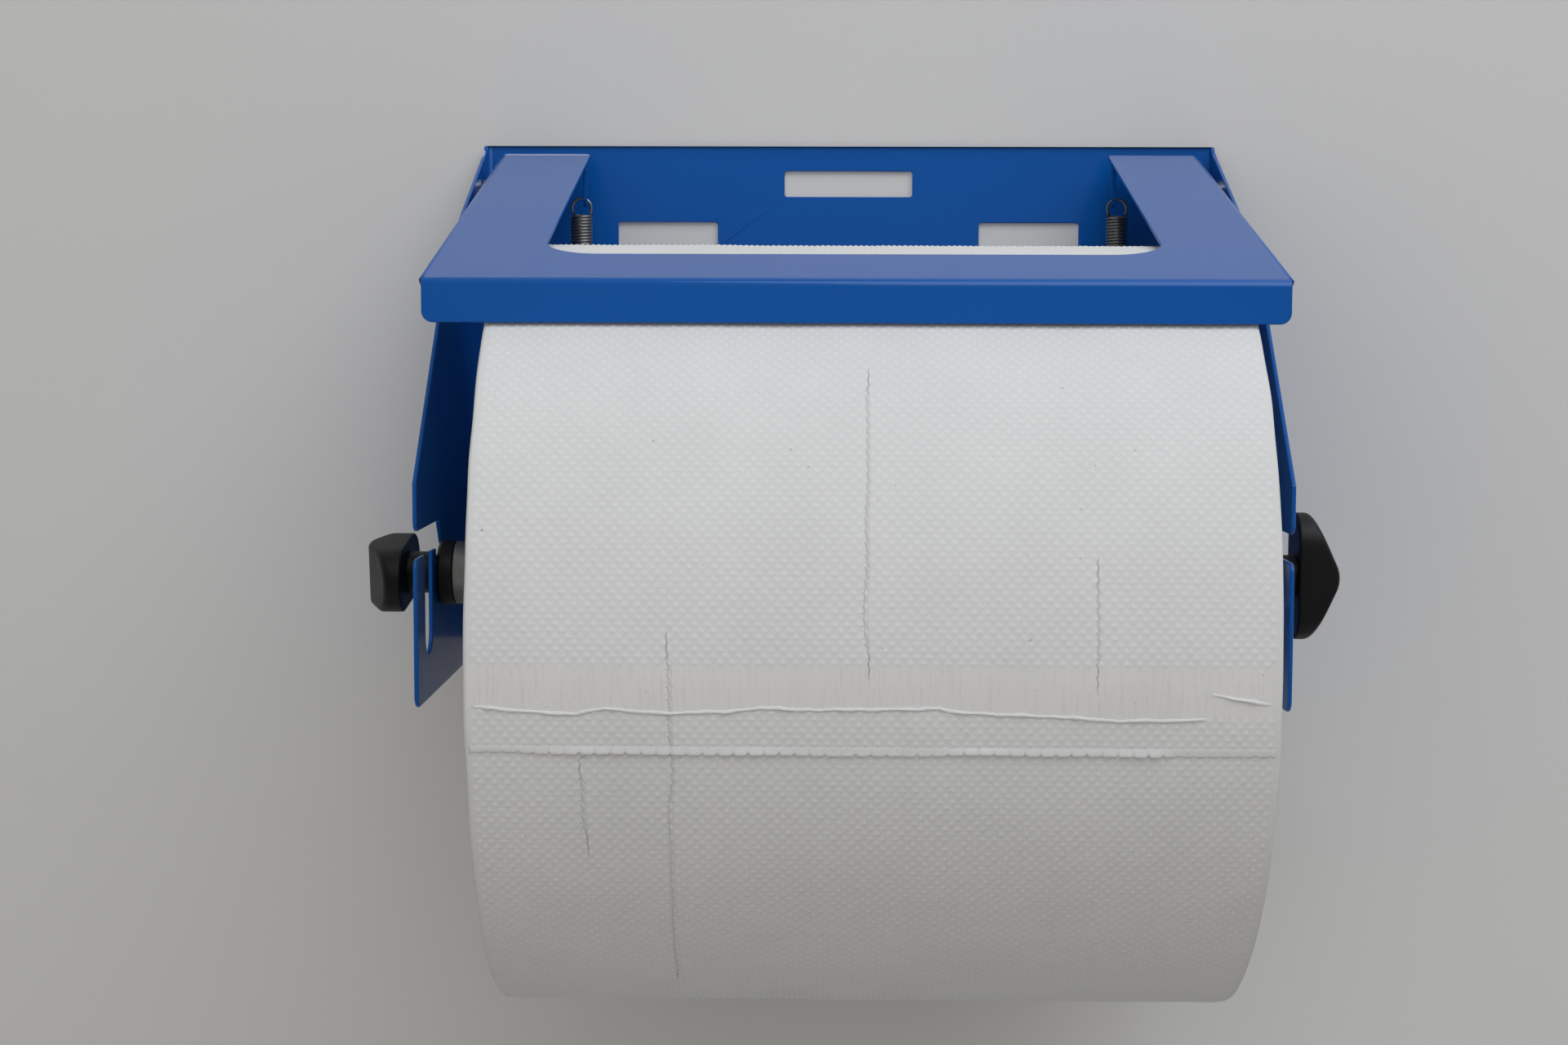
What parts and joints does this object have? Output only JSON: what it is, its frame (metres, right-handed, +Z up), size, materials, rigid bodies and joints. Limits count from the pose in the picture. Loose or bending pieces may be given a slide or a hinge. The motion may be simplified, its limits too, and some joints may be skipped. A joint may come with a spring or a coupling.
{
  "type": "paper towel holder",
  "caption": "Wall holder of bent blue sheet for a wide paper roll, with slotted side plates, a clamped axle tube and a sprung tear-off frame that lifts for a new roll.",
  "frame": {"origin": "on the wall face of the back plate, at the centre of the four screw holes", "axes": "+X to the right seen from the front, +Y into the wall, +Z up"},
  "size_m": [0.4636, 0.3641, 0.4185],
  "materials": {
    "blue_coat": "satin powder coat",
    "zinc_steel": "zinc plated",
    "spring_steel": "oiled",
    "tube_steel": "dull grey",
    "black_plastic": "matte",
    "brass_insert": "turned",
    "core_board": "raw",
    "white_paper": "embossed"
  },
  "bodies": {
    "bracket": {"wall_bracket": "blue_coat", "hinge_bolts": "zinc_steel", "hinge_spacers": "zinc_steel", "hinge_washers": "zinc_steel", "hinge_nuts": "zinc_steel", "spring_left": "spring_steel", "spring_right": "spring_steel"},
    "frame": {"tear_frame": "blue_coat"},
    "axle": {"axle_rod": "zinc_steel", "axle_tube": "tube_steel", "collar_left": "black_plastic", "collar_right": "black_plastic"},
    "left_knob": {"knob_left": "black_plastic", "insert_left": "brass_insert"},
    "right_knob": {"knob_right": "black_plastic", "insert_right": "brass_insert"},
    "roll": {"roll_core": "core_board", "paper_roll": "white_paper"}
  },
  "joints": [
    {"name": "frame_lift", "type": "hinge", "parent": "bracket", "child": "frame", "pos_m": [0, -0.024, 0.132], "axis": [-1, 0, 0], "range_deg": [0, 95], "stiffness_Nm_per_rad": 0.31, "springref_deg": -44.69, "deforming": ["spring_left", "spring_right"]},
    {"name": "axle_spin", "type": "hinge", "parent": "bracket", "child": "axle", "pos_m": [0, -0.18425, -0.06], "axis": [1, 0, 0], "continuous": true},
    {"name": "knob_left_turn", "type": "hinge", "parent": "axle", "child": "left_knob", "pos_m": [-0.21, -0.18425, -0.06], "axis": [-1, 0, 0], "range_deg": [0, 360]},
    {"name": "knob_right_turn", "type": "hinge", "parent": "axle", "child": "right_knob", "pos_m": [0.21, -0.18425, -0.06], "axis": [1, 0, 0], "range_deg": [0, 360]},
    {"name": "roll_spin", "type": "hinge", "parent": "bracket", "child": "roll", "pos_m": [0.0067, -0.18425, -0.0827], "axis": [1, 0, 0], "continuous": true}
  ]
}
